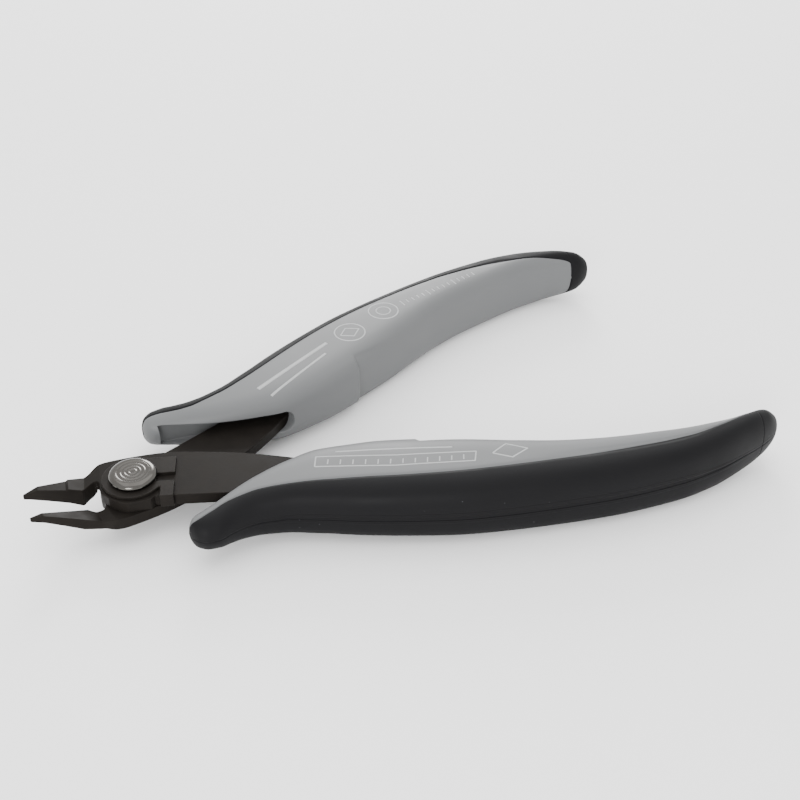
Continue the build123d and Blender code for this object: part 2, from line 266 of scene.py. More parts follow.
@dataclass
class GripShape:
    """The outside of one grip, as sections square to the closed half's centre line.

    At each x the section is a rounded rectangle |y / w| ** n + |z / h| ** n = 1 about its middle. All
    sizes are in millimetres about the rivet. Both grips come from one mould and are turned over for the
    other half, so that the seam of one grip's top is the seam of the other's underside.
    """

    nose_x: float = 7.6
    tail_x: float = 118.4
    outer: Curve = (
        (7.6, -14.2), (8.0, -15.4), (9.0, -16.7), (10.6, -17.45), (12.4, -17.3), (14.6, -16.25),
        (17.0, -15.35), (20.0, -14.9), (23.5, -15.05), (30.2, -16.8), (37.0, -19.1), (45.3, -21.4),
        (56.2, -23.75), (70.8, -25.13), (82.1, -25.58), (94.1, -24.9), (102.0, -23.45), (108.2, -21.4),
        (113.0, -19.5), (116.3, -17.7), (117.8, -16.4), (118.4, -15.0),
    )
    inner: Curve = (
        (7.6, -14.2), (7.9, -13.1), (8.8, -11.85), (10.6, -10.7), (13.9, -9.0), (20.0, -6.0),
        (26.6, -3.6), (32.5, -2.15), (40.9, -2.8), (48.3, -4.45), (56.8, -6.8), (67.4, -10.4),
        (75.0, -12.7), (83.0, -14.25), (90.0, -15.05), (98.5, -15.6), (106.0, -15.1), (111.5, -13.9),
        (115.2, -12.9), (117.3, -13.2), (118.2, -14.15), (118.4, -15.0),
    )
    thickness: Curve = (
        (7.6, 0.0), (7.75, 1.2), (8.6, 2.6), (10.0, 3.1), (12.5, 3.5), (16.0, 4.1), (20.0, 4.6),
        (26.0, 5.15), (34.0, 5.65), (50.0, 6.25), (62.0, 6.38), (72.0, 6.38), (90.0, 6.28),
        (102.0, 6.18), (110.0, 5.75), (115.0, 4.8), (117.5, 2.9), (118.2, 1.5), (118.4, 0.0),
    )
    near_seam: Curve = (
        (7.6, -14.2), (8.75, -14.4), (11.6, -13.4), (14.5, -12.1), (17.5, -11.5), (20.2, -11.2),
        (23.0, -11.4), (28.4, -12.2), (33.8, -13.4), (39.2, -14.65), (44.4, -15.95), (49.9, -17.1),
        (55.3, -18.0), (61.0, -18.7), (66.7, -19.2), (72.4, -19.65), (78.3, -20.0), (84.4, -20.1),
        (90.0, -20.1), (97.1, -19.75), (103.0, -18.6), (107.5, -17.2), (111.5, -15.4), (112.9, -14.4),
    )
    far_seam: Curve = (
        (7.6, -14.2), (8.75, -14.6), (11.2, -14.1), (13.2, -13.2), (15.2, -12.3), (17.6, -11.75),
        (22.6, -11.9), (28.4, -13.0), (34.7, -14.8), (41.1, -16.75), (47.9, -18.6), (54.4, -20.0),
        (60.9, -21.0), (67.4, -21.6), (73.8, -22.0), (80.2, -22.1), (86.5, -21.7), (92.5, -20.9),
        (98.2, -19.5), (103.8, -17.9), (109.1, -15.9), (111.8, -14.8), (112.9, -14.2),
    )
    seam_end: float = 112.9
    end_power: float = 2.1
    middle_power: float = 3.55
    shoulder_x: float = 49.7
    shoulder_swell: float = 0.25
    shoulder_setback: float = 0.55
    shoulder_length: float = 0.8

    def __post_init__(self) -> None:
        """Makes the plan curves and the thickness curve."""
        self.outer_at = spline_through(self.outer)
        self.inner_at = spline_through(self.inner)
        self.height_at = spline_through(self.thickness)
        self.near_seam_at = spline_through(self.near_seam)
        self.far_seam_at = spline_through(self.far_seam)

    def power_at(self, x: Array) -> Array:
        """How square the section is at x: nearly an ellipse at the ends and a rounded oblong between."""
        middle = smoothstep(9.0, 30.0, x) * (1 - smoothstep(90.0, 116.0, x))
        return self.end_power + (self.middle_power - self.end_power) * middle

    def seam_angle(self, x: Array, near: bool) -> Array:
        """The section angle of a seam: 0 faces outwards, pi faces inwards.

        Args:
            x: Stations.
            near: Whether it is the seam on the front grip's top, or the one on its underside.

        Returns:
            Angles from 0 to pi.
        """
        low, high = self.outer_at(x), self.inner_at(x)
        middle, half = (low + high) / 2, np.maximum((high - low) / 2, TINY)
        line = self.near_seam_at(x) if near else self.far_seam_at(x)
        across = np.clip((middle - line) / half, -0.96, 0.96)
        cosine = np.sign(across) * np.abs(across) ** (self.power_at(x) / 2)
        return np.arccos(cosine)

    def point(self, x: Array, angle: Array) -> Array:
        """The surface at x and section angle, with a shoulder on the inner side.

        The section is powers of the angle's cosine and sine. The inner side swells up to the shoulder and
        is set back behind it. The step fades where the side turns into the top, at a line that falls away
        towards the tail.

        Args:
            x: Stations.
            angle: Section angles, of a shape that broadcasts with x.

        Returns:
            Points (..., 3).
        """
        x, angle = np.broadcast_arrays(x, angle)
        low, high = self.outer_at(x), self.inner_at(x)
        power = 2.0 / self.power_at(x)
        c, s = np.cos(angle), np.sin(angle)
        y = (low + high) / 2 - (high - low) / 2 * np.sign(c) * np.abs(c) ** power
        z = self.height_at(x) * np.sign(s) * np.abs(s) ** power
        past = x - self.shoulder_x
        ridge = 0.52 + 0.020 * np.maximum(past, 0.0)
        facing = smoothstep(0.0, 0.22, -c - ridge)
        beyond = smoothstep(0.0, self.shoulder_length, past)
        swell = self.shoulder_swell * smoothstep(-14.0, 0.0, past) * (1 - beyond)
        setback = self.shoulder_setback * beyond * (1 - smoothstep(5.0, 20.0, past))
        return np.stack([x, y + (swell - setback) * facing, z], -1)

    def top_height(self, x: Array, y: Array) -> Array:
        """The height of the top face over a plan point: the section's formula solved for z.

        Args:
            x: Stations.
            y: Places across the grip.

        Returns:
            Heights above the middle plane.
        """
        low, high = self.outer_at(x), self.inner_at(x)
        across = np.clip(np.abs((y - (low + high) / 2) / ((high - low) / 2)), 0, 0.999)
        power = self.power_at(x)
        return self.height_at(x) * (1 - across**power) ** (1 / power)


def end_spaced(count: int) -> Array:
    """Numbers from 0 to 1, closer together towards both ends: (1 - cos(pi t)) / 2 of even t."""
    return (1 - np.cos(np.linspace(0, math.pi, count))) / 2


@dataclass
class Grip:
    """One grip: a hard body with the mouth for the tang, and the soft cushion round its outside."""

    side: Side
    shape: GripShape
    groove_depth: float = 0.17
    groove_width: float = 0.2
    around_radius: float = 7.0  # turns a section angle into a rough length round the grip
    parting_depth: float = 0.1
    parting_width: float = 0.11
    wall_bow: float = 0.4
    mouth_half: float = 2.2
    mouth_share: float = 0.68  # of the grip's own half thickness, at most
    lip_share: float = 0.8
    mouth_front: float = 9.9
    mouth_rear: float = 33.6
    mouth_round: float = 2.0
    lip: float = 0.28
    around: int = 46
    pocket_floor: Curve = ((9.0, -12.9), (14.0, -11.9), (18.0, -10.8), (24.0, -10.6), (34.0, -11.4))
    ink_section: Curve = ((1.0, 0.012), (0.0, 0.016), (-1.0, 0.012), (-1.0, -0.05), (1.0, -0.05))

    def stations(self, first: float, last: float, extra: list[float]) -> Array:
        """Places along the grip: even in the middle and closer together towards each end.

        Args:
            first: The first place.
            last: The last place.
            extra: Places that have to be among them.

        Returns:
            The places in rising order.
        """
        even = np.linspace(0, 1, 170)
        mixed = first + (last - first) * (0.35 * (0.5 - 0.5 * np.cos(math.pi * even)) + 0.65 * even)
        close = 5.0 * np.linspace(0, 1, 18) ** 2.4
        places = np.concatenate([mixed, first + close, last - close, np.array(extra)])
        return np.unique(np.round(places[(places >= first) & (places <= last)], 4))

    def sink(self, points: Array, depth: Array) -> Array:
        """Moves points of the section loops inwards, towards the middle line, by a depth.

        Args:
            points: Points (rows, columns, 3).
            depth: How far each one moves; no point passes half its way to the middle line.

        Returns:
            The moved points.
        """
        x = points[..., 0]
        middle = (self.shape.outer_at(x) + self.shape.inner_at(x)) / 2
        toward = np.stack([np.zeros_like(x), middle - points[..., 1], -points[..., 2]], -1)
        length = np.linalg.norm(toward, axis=-1, keepdims=True)
        return points + toward / np.maximum(length, TINY) * np.minimum(depth[..., None], length * 0.5)

    def groove(self, distance: Array) -> Array:
        """The depth of a seam's groove at a distance from the seam: an exponential dip."""
        return self.groove_depth * np.exp(-((distance / self.groove_width) ** 2))

    def cushion(self) -> bpy.types.Object:
        """The soft outer moulding, from the top seam round the outside to the bottom seam.

        Its grid runs along the grip and round the arc between the seams. A groove follows each seam and a
        finer one the parting line, each an exponential dip, and a wall inside joins the seams. Beyond the
        end of the seams it goes all the way round, as a cap.

        Returns:
            The cushion's object.
        """
        shape = self.shape
        end = shape.seam_end
        cap_edge = [end - 0.002, end, end + 0.12, end + 0.25, end + 0.5]
        x = self.stations(shape.nose_x, shape.tail_x, cap_edge)[:, None]
        half = np.concatenate([[0.0, 0.009, 0.02, 0.036], end_spaced(self.around)[2:]])
        arc = np.concatenate([-half[::-1], half[1:]])[None, :]
        capped = x >= end
        top = np.where(capped, math.pi, shape.seam_angle(x, self.side is Side.FRONT))
        bottom = np.where(capped, math.pi, shape.seam_angle(x, self.side is Side.REAR))
        reach = np.where(arc > 0, top, bottom)
        points = shape.point(x, reach * arc)
        from_seam = np.where(capped, np.inf, reach * (1 - np.abs(arc)) * self.around_radius)
        parting = self.parting_depth * np.exp(-((points[..., 2] / self.parting_width) ** 2))
        dip = self.groove(from_seam) + self.groove(x - end) * capped + parting * (np.abs(arc) < 0.5)
        fade = smoothstep(0.0, 1.2, x - shape.nose_x) * smoothstep(0.0, 1.2, shape.tail_x - x)
        points = self.sink(points, dip * fade)
        return closed_grid(f"{self.side.word}_cushion", to_world(self.with_wall(points), self.side))

    def with_wall(self, points: Array) -> Array:
        """Adds the hidden wall that joins the last line of a shell to its first, bowed a little outwards.

        Args:
            points: The shell's points (rows, columns, 3).

        Returns:
            The points with the wall's columns after them.
        """
        step = np.linspace(0, 1, 7)[None, 1:-1, None]
        first, last = points[:, -1:], points[:, :1]
        wall = first + (last - first) * step
        bow = np.sin(math.pi * step[..., 0]) * smoothstep(0.3, 3.0, np.abs(first[..., 2]))
        wall[..., 1] -= self.wall_bow * bow
        return np.concatenate([points, wall], 1)

    def body(self) -> bpy.types.Object:
        """The hard inner moulding, from the top seam round the inside to the bottom seam, with its mouth.

        The grid runs along the grip and round the arc between the seams. Lines of the grid follow the lips
        of the mouth, and inside the mouth's length the lines between the lips are pushed to its floor.

        Returns:
            The body's object.
        """
        shape = self.shape
        front, rear = self.mouth_front, self.mouth_rear
        extra = [front - 0.3, front - 0.1, front, front + 0.01, rear, rear + 0.01, rear + 0.1, rear + 0.3]
        extra += list(rear - self.mouth_round * (1 - np.sin(np.linspace(0, math.pi / 2, 14))))
        extra += list(shape.shoulder_x + np.linspace(-0.6, 2.2, 22))
        x = self.stations(shape.nose_x + 0.15, shape.seam_end - 0.004, extra)[:, None]
        top = self.half_arc(x, self.side is Side.FRONT)
        bottom = self.half_arc(x, self.side is Side.REAR)[:, ::-1] * np.array([1.0, 1.0, -1.0])
        outside = np.concatenate([top, self.mouth_lines(x), bottom], 1)
        return closed_grid(f"{self.side.word}_body", to_world(self.with_wall(outside), self.side))

    def opening(self, x: Array) -> Array:
        """Half the height of the mouth: full, and rounded off at its rear end by a quarter ellipse.

        Args:
            x: Stations.

        Returns:
            Half heights.
        """
        inside = np.clip((x - (self.mouth_rear - self.mouth_round)) / self.mouth_round, 0.0, 1.0)
        rounded = self.mouth_half * np.sqrt(1 - inside**2 * 0.999)
        return np.minimum(rounded, self.shape.height_at(x) * self.mouth_share)

    def lip_angle(self, x: Array, height: Array) -> Array:
        """The section angle at which the inner side of the grip is at a height over its middle."""
        ratio = np.clip(height / np.maximum(self.shape.height_at(x), TINY), 0.0, 1.0)
        return math.pi - np.arcsin(ratio ** (self.shape.power_at(x) / 2))

    def half_arc(self, x: Array, near: bool) -> Array:
        """The upper half of the body's outside, from a seam with its groove to the mouth's upper lip.

        Args:
            x: Stations, as a column.
            near: Which of the two seams it starts from, as in GripShape.seam_angle.

        Returns:
            Points (rows, columns, 3).
        """
        shape = self.shape
        start = shape.seam_angle(x, near)
        height = np.minimum(self.opening(x) + self.lip, shape.height_at(x) * self.lip_share)
        finish = np.maximum(self.lip_angle(x, height), start + 1e-4)
        arc = 0.7 * end_spaced(self.around + 8) + 0.3 * np.linspace(0, 1, self.around + 8)
        turned = (finish - start) * arc[None, :]
        points = shape.point(x, start + turned)
        dip = self.groove(turned * self.around_radius) + self.groove(shape.seam_end - x)
        fade = smoothstep(0.0, 1.2, x - shape.nose_x)
        return self.sink(points, dip * fade)

    def mouth_lines(self, x: Array) -> Array:
        """Grid lines between the lips: on the surface beyond the mouth's ends, on its floor between them.

        Inside, a quarter round leads over each lip, the walls run straight in, and the floor is flat.

        Args:
            x: Stations, as a column.

        Returns:
            Points (rows, columns, 3), from the upper lip to the lower.
        """
        shape = self.shape
        limit = self.opening(x)
        open_here = (x >= self.mouth_front) & (x <= self.mouth_rear)
        floor = spline_through(self.pocket_floor)(x)
        turn = np.linspace(0, math.pi / 2, 5)[1:]
        spread = np.minimum(self.lip, shape.height_at(x) * self.lip_share - limit)
        heights = [limit + spread * (1 - math.sin(a)) for a in turn]
        heights += [limit * share for share in (1.0, 1.0, 0.98, 0.6, 0.2)]
        heights = np.concatenate(heights, 1)
        surface = shape.point(x, self.lip_angle(x, heights))
        down_wall = 1.2
        lip_back = np.array([self.lip * (1 - math.cos(a)) for a in turn] + [down_wall, 0, 0, 0, 0])
        inward = surface[..., 1] - lip_back[None, :]
        on_floor = np.array([False] * 5 + [True] * 4)[None, :]
        pushed = np.where(on_floor, np.minimum(floor, inward), inward)
        upper = surface.copy()
        upper[..., 1] = np.where(open_here, pushed, surface[..., 1])
        upper[..., 2] = np.where(open_here, heights, surface[..., 2])
        lower = upper[:, ::-1] * np.array([1.0, 1.0, -1.0])
        return np.concatenate([upper, lower], 1)

    def ribbon(self, path: Array, width: float) -> tuple[Array, Array]:
        """A flat printed line over the top face: a thin oblong section carried along a plan path.

        Args:
            path: (n, 2) plan points in millimetres about the rivet.
            width: The line's width.

        Returns:
            Points and faces, for print_marks to gather.
        """
        along = np.gradient(path, axis=0)
        along /= np.maximum(np.linalg.norm(along, axis=1, keepdims=True), 1e-9)
        across = np.stack([-along[:, 1], along[:, 0]], -1) * width / 2
        lines = []
        for share, lift in self.ink_section:
            plan = path + across * share
            lines.append(np.column_stack([plan, self.shape.top_height(plan[:, 0], plan[:, 1]) + lift]))
        loops = np.stack(lines, 1)
        corners = loops.shape[1]
        first, last = (loops[row].mean(0)[None, None].repeat(corners, 1) for row in (0, -1))
        loops = np.concatenate([first, loops, last])
        return to_world(loops, self.side).reshape(-1, 3), grid_faces(len(loops), corners, True)

    def print_marks(self, paths: list[tuple[Array, float]]) -> bpy.types.Object:
        """All the printed lines of this grip as one mesh.

        Args:
            paths: Plan paths and their widths.

        Returns:
            The marks' object.
        """
        points, faces, count = [], [], 0
        for path, width in paths:
            p, f = self.ribbon(path, width)
            points.append(p)
            faces.append(f + count)
            count += len(p)
        return make_object(f"{self.side.word}_print", np.concatenate(points), np.concatenate(faces))


def straight(start: tuple[float, float], end: tuple[float, float]) -> Array:
    """Points every fifth of a millimetre or so along a straight line."""
    count = max(4, int(math.dist(start, end) / 0.2))
    return np.linspace(start, end, count)


def round_path(centre: tuple[float, float], radius: float) -> Array:
    """Points round a whole circle."""
    angle = np.linspace(0, 2 * math.pi, 97)
    return np.column_stack([centre[0] + radius * np.cos(angle), centre[1] + radius * np.sin(angle)])


def outline_path(corners: list[tuple[float, float]]) -> Array:
    """Points round a closed outline with straight sides."""
    sides = [straight(a, b) for a, b in zip(corners, corners[1:] + corners[:1])]
    return np.concatenate(sides)


def rear_marks() -> list[tuple[Array, float]]:
    """Plain marks on the rear grip: two rules, two rings round a lozenge and a ring, and a tick scale.

    Returns:
        Plan paths and their widths.
    """
    lozenge = [(51.3, -13.9), (53.5, -12.2), (55.7, -13.9), (53.5, -15.6)]
    ticks, pitch, fall = 15, 1.42, 0.125
    marks = [
        (straight((29.2, -7.9), (47.6, -13.2)), 0.9),
        (straight((30.4, -4.9), (45.6, -10.2)), 0.55),
        (round_path((53.5, -13.9), 3.1), 0.3),
        (round_path((63.6, -16.9), 3.1), 0.3),
        (outline_path(lozenge), 0.26),
        (round_path((63.6, -16.9), 1.5), 0.3),
    ]
    for step in range(ticks):
        x, y = 68.6 + pitch * step, -17.2 - fall * step
        reach = 1.0 if step % 5 == 0 else 0.6
        marks.append((straight((x, y - reach), (x, y + reach)), 0.26))
    return marks


def front_marks() -> list[tuple[Array, float]]:
    """Plain marks on the front grip: a long open frame with a row of ticks in it, a rule and a lozenge.

    Returns:
        Plan paths and their widths.
    """
    lower = [(30.6, -9.2), (44.0, -13.4), (57.6, -16.3)]
    upper = [(58.6, -13.9), (45.0, -10.8), (31.4, -6.6)]
    ticks, length, fall, sag = 12, 27.1, 7.2, 0.9
    marks = [(outline_path(lower + upper), 0.26)]
    for step in range(ticks):
        share = (step + 1) / (ticks + 1)
        x = 31.0 + length * share
        y = -7.9 - fall * share - sag * math.sin(math.pi * share)
        marks.append((straight((x + 0.2, y + 0.6), (x - 0.2, y - 0.6)), 0.24))
    marks.append((outline_path([(61.2, -15.2), (64.4, -13.2), (67.6, -15.6), (64.2, -17.2)]), 0.3))
    marks.append((straight((35.0, -6.3), (55.0, -11.5)), 0.35))
    return marks


# --- the joint ---------------------------------------------


@dataclass
class Rivet:
    """The rivet, turned in one piece: a head with turned rings, the shank and the closed tail."""

    head_r: float = 4.25
    head_base: float = 2.85
    head_top: float = 4.13
    face_r: float = 3.15
    waist: float = 0.42
    ring_radii: tuple[float, ...] = (0.62, 1.36, 2.12, 2.92)
    dish_depth: float = 0.06
    ring_height: float = 0.065
    ring_width: float = 0.13
    shank_r: float = 2.5
    tail_base: float = -2.82
    tail_r: float = 3.3
    tail_t: float = 0.8
    undercut: float = 0.35

    def profile(self) -> Array:
        """Radius and height from the middle of the head round to the middle of the tail.

        The face is a shallow dish with a bell-shaped ridge at each ring, and the rim is two quarter
        ellipses that meet at the widest radius.

        Returns:
            (n, 2) radii and heights in millimetres about the rivet.
        """
        r = np.linspace(0.0, self.face_r, 150)
        ridges = np.exp(-(((r[:, None] - np.array(self.ring_radii)) / self.ring_width) ** 2)).sum(1)
        sunk = 1 - smoothstep(self.face_r - 0.35, self.face_r, r)
        face = np.column_stack([r, self.head_top + (self.ring_height * ridges - self.dish_depth) * sunk])
        widest = self.head_base + self.waist
        turn = np.linspace(0.0, math.pi / 2, 22)[1:]
        reach = self.head_r - self.face_r
        drop = self.head_top - widest
        over = np.column_stack([self.face_r + reach * np.sin(turn), widest + drop * np.cos(turn)])
        tuck = self.undercut * (1 - np.cos(turn))
        under = np.column_stack([self.head_r - tuck, widest - self.waist * np.sin(turn)])
        bottom = self.tail_base - self.tail_t
        rest = [
            (self.shank_r, self.head_base), (self.shank_r, self.tail_base), (self.tail_r, self.tail_base),
            (self.tail_r, bottom + 0.3), (self.tail_r - 0.12, bottom + 0.1), (self.tail_r - 0.35, bottom),
            (1.2, bottom), (0.9, bottom + 0.18), (0.0, bottom + 0.2),
        ]
        return np.concatenate([face, over, under, np.array(rest)])

    def build(self) -> bpy.types.Object:
        """The profile carried once round the rivet's axis.

        Returns:
            The rivet's object.
        """
        radius, height = self.profile().T
        angle = np.linspace(0, 2 * math.pi, 144, endpoint=False)[None, :]
        flat = [radius[:, None] * np.cos(angle), radius[:, None] * np.sin(angle)]
        loops = np.stack([*flat, np.broadcast_to(height[:, None], flat[0].shape)], -1)
        place = loops * MM + np.array(PIVOT)
        return closed_grid("rivet", place)


@dataclass
class ReturnSpring:
    """The wire spring round the rivet, inside the joint: a coil with a straight leg in each blade."""

    wire: float = 0.29  # the wire's radius
    coil: float = 3.1
    rise: float = 1.0
    leg: float = 8.0

    def build(self) -> bpy.types.Object:
        """A round wire carried along its centre line: a leg, a coil that falls evenly, and a leg.

        Returns:
            The spring's object.
        """
        turns = 1.0 + (math.pi - 2 * HALF_OPEN) / (2 * math.pi)
        start = -math.pi / 2 - HALF_OPEN
        angle = start - np.linspace(0, 2 * math.pi * turns, 180)
        fall = np.linspace(0.5, -0.5, 180) * self.rise
        coil = np.column_stack([self.coil * np.cos(angle), self.coil * np.sin(angle), fall])
        out = np.linspace(self.leg, 0.15, 24)[:, None]
        first = coil[0] + out * np.array([math.cos(HALF_OPEN), -math.sin(HALF_OPEN), 0.0])
        last = coil[-1] + out[::-1] * np.array([math.cos(HALF_OPEN), math.sin(HALF_OPEN), 0.0])
        line = np.concatenate([first, coil, last])
        along = np.gradient(line, axis=0)
        along /= np.linalg.norm(along, axis=1, keepdims=True)
        side = np.cross(along, np.array([0.0, 0.0, 1.0]))
        side /= np.linalg.norm(side, axis=1, keepdims=True)
        upward = np.cross(side, along)
        line, side, upward = line[:, None], side[:, None], upward[:, None]
        turn = np.linspace(0, 2 * math.pi, 12, endpoint=False)[None, :, None]
        loops = line + self.wire * (np.cos(turn) * side + np.sin(turn) * upward)
        return closed_grid("spring", loops * MM + np.array(PIVOT))


# --- finishes ----------------------------------------------


class Nodes:
    """Adds and joins nodes of one tree."""

    def __init__(self, tree: bpy.types.NodeTree) -> None:
        """Keeps the tree."""
        self.tree = tree

    def add(self, kind: str, **settings: object) -> bpy.types.Node:
        """A new node of a kind.

        Args:
            kind: The node's type name.
            settings: Properties and their values.

        Returns:
            The node.
        """
        node = self.tree.nodes.new(kind)
        for name, value in settings.items():
            setattr(node, name, value)
        return node

    def join(self, source: bpy.types.NodeSocket, target: bpy.types.NodeSocket) -> None:
        """Links an output to an input."""
        self.tree.links.new(source, target)

    def feed(self, value: object, socket: bpy.types.NodeSocket) -> None:
        """Gives an input a socket's value, a plain number or a plain colour.

        Args:
            value: An output socket, a number or a colour of three numbers.
            socket: The input.
        """
        if isinstance(value, bpy.types.NodeSocket):
            self.join(value, socket)
        elif isinstance(value, tuple):
            socket.default_value = (*value, 1.0)
        else:
            socket.default_value = value

    def math(
        self, operation: str, first: object, second: object, clamp: bool = False
    ) -> bpy.types.NodeSocket:
        """A Math node.

        Args:
            operation: The node's operation.
            first: Its first value, a socket or a number.
            second: Its second value, a socket or a number.
            clamp: Whether the result is kept between 0 and 1.

        Returns:
            The result's socket.
        """
        node = self.add("ShaderNodeMath", operation=operation, use_clamp=clamp)
        self.feed(first, node.inputs[0])
        self.feed(second, node.inputs[1])
        return node.outputs[0]

    def ramp(self, value: bpy.types.NodeSocket, span: Span, onto: Span) -> bpy.types.NodeSocket:
        """A clamped Map Range with a smooth step.

        Args:
            value: The socket to map.
            span: The values it maps from.
            onto: The values it maps to.

        Returns:
            The result's socket.
        """
        node = self.add("ShaderNodeMapRange", interpolation_type="SMOOTHSTEP")
        self.join(value, node.inputs["Value"])
        for name, number in zip(("From Min", "From Max", "To Min", "To Max"), span + onto):
            node.inputs[name].default_value = number
        return node.outputs["Result"]

    def noise(self, scale: bpy.types.NodeSocket, detail: float) -> bpy.types.NodeSocket:
        """A noise on the piece's own coordinates.

        Args:
            scale: The socket that gives its scale.
            detail: Its number of octaves.

        Returns:
            The noise's value.
        """
        node = self.add("ShaderNodeTexNoise")
        self.join(self.place(), node.inputs["Vector"])
        self.join(scale, node.inputs["Scale"])
        node.inputs["Detail"].default_value = detail
        return node.outputs["Fac"]

    def place(self) -> bpy.types.NodeSocket:
        """The piece's own coordinates."""
        return self.add("ShaderNodeTexCoord").outputs["Object"]


def new_group(
    name: str, inputs: dict[str, float], outputs: dict[str, str]
) -> tuple[Nodes, bpy.types.Node, bpy.types.Node]:
    """An empty shader node group.

    Args:
        name: The group's name.
        inputs: Float inputs and their values.
        outputs: Outputs and their socket types.

    Returns:
        The tree's helper, its input node and its output node.
    """
    tree = bpy.data.node_groups.new(name, "ShaderNodeTree")
    for word, value in inputs.items():
        socket = tree.interface.new_socket(name=word, in_out="INPUT", socket_type="NodeSocketFloat")
        socket.default_value = value
    for word, kind in outputs.items():
        tree.interface.new_socket(name=word, in_out="OUTPUT", socket_type=kind)
    nodes = Nodes(tree)
    return nodes, nodes.add("NodeGroupInput"), nodes.add("NodeGroupOutput")


def surface_grain() -> bpy.types.NodeTree:
    """Fine pits of a moulded or blasted surface, and a slow mottle: two noises, one as a bump.

    Returns:
        The group, made at its first use.
    """
    name = "surface_grain"
    if name in bpy.data.node_groups:
        return bpy.data.node_groups[name]
    inputs = {"Scale": 4000.0, "Depth": 0.2, "Mottle Scale": 120.0}
    outputs = {"Mottle": "NodeSocketFloat", "Normal": "NodeSocketVector"}
    n, source, sink = new_group(name, inputs, outputs)
    bump = n.add("ShaderNodeBump")
    bump.inputs["Distance"].default_value = 0.00004
    n.join(n.noise(source.outputs["Scale"], 3.0), bump.inputs["Height"])
    n.join(source.outputs["Depth"], bump.inputs["Strength"])
    n.join(n.noise(source.outputs["Mottle Scale"], 4.0), sink.inputs["Mottle"])
    n.join(bump.outputs["Normal"], sink.inputs["Normal"])
    return n.tree


def edge_wear() -> bpy.types.NodeTree:
    """Where edges are worn bright, with a painted highlight along them: how far a rounded normal turns
    from the true one, and a noise.

    Returns:
        The group, made at its first use.
    """
    name = "edge_wear"
    if name in bpy.data.node_groups:
        return bpy.data.node_groups[name]
    inputs = {"Radius": 0.00015, "Breakup Scale": 900.0, "Amount": 1.0}
    n, source, sink = new_group(name, inputs, {"Mask": "NodeSocketFloat"})
    rounded = n.add("ShaderNodeBevel", samples=6)
    n.join(source.outputs["Radius"], rounded.inputs["Radius"])
    turn = n.add("ShaderNodeVectorMath", operation="DOT_PRODUCT")
    n.join(rounded.outputs["Normal"], turn.inputs[0])
    n.join(n.add("ShaderNodeNewGeometry").outputs["Normal"], turn.inputs[1])
    # The light edge is partly real worn metal and partly a painted highlight standing in for the light
    # caught by the edges.
    edge = n.ramp(turn.outputs["Value"], (0.80, 0.995), (1.0, 0.0))
    broken = n.ramp(n.noise(source.outputs["Breakup Scale"], 3.0), (0.35, 0.62), (0.25, 1.0))
    worn_and_highlighted = n.math("MULTIPLY", edge, broken)
    n.join(n.math("MULTIPLY", worn_and_highlighted, source.outputs["Amount"], clamp=True), sink.inputs["Mask"])
    return n.tree


def dust_specks() -> bpy.types.NodeTree:
    """Scattered pale specks: the middles of a few of the cells of a fine cell pattern.

    Returns:
        The group, made at its first use.
    """
    name = "dust_specks"
    if name in bpy.data.node_groups:
        return bpy.data.node_groups[name]
    inputs = {"Scale": 1300.0, "Share": 0.08, "Size": 0.13}
    n, source, sink = new_group(name, inputs, {"Mask": "NodeSocketFloat"})
    cells = n.add("ShaderNodeTexVoronoi")
    n.join(n.place(), cells.inputs["Vector"])
    n.join(source.outputs["Scale"], cells.inputs["Scale"])
    split = n.add("ShaderNodeSeparateColor")
    n.join(cells.outputs["Color"], split.inputs["Color"])
    chosen = n.math("LESS_THAN", split.outputs["Red"], source.outputs["Share"])
    radius = n.math("MULTIPLY", source.outputs["Size"], split.outputs["Green"])
    near = n.math("LESS_THAN", cells.outputs["Distance"], radius)
    n.join(n.math("MULTIPLY", chosen, near), sink.inputs["Mask"])
    return n.tree


DUST = (0.06, 0.06, 0.065)


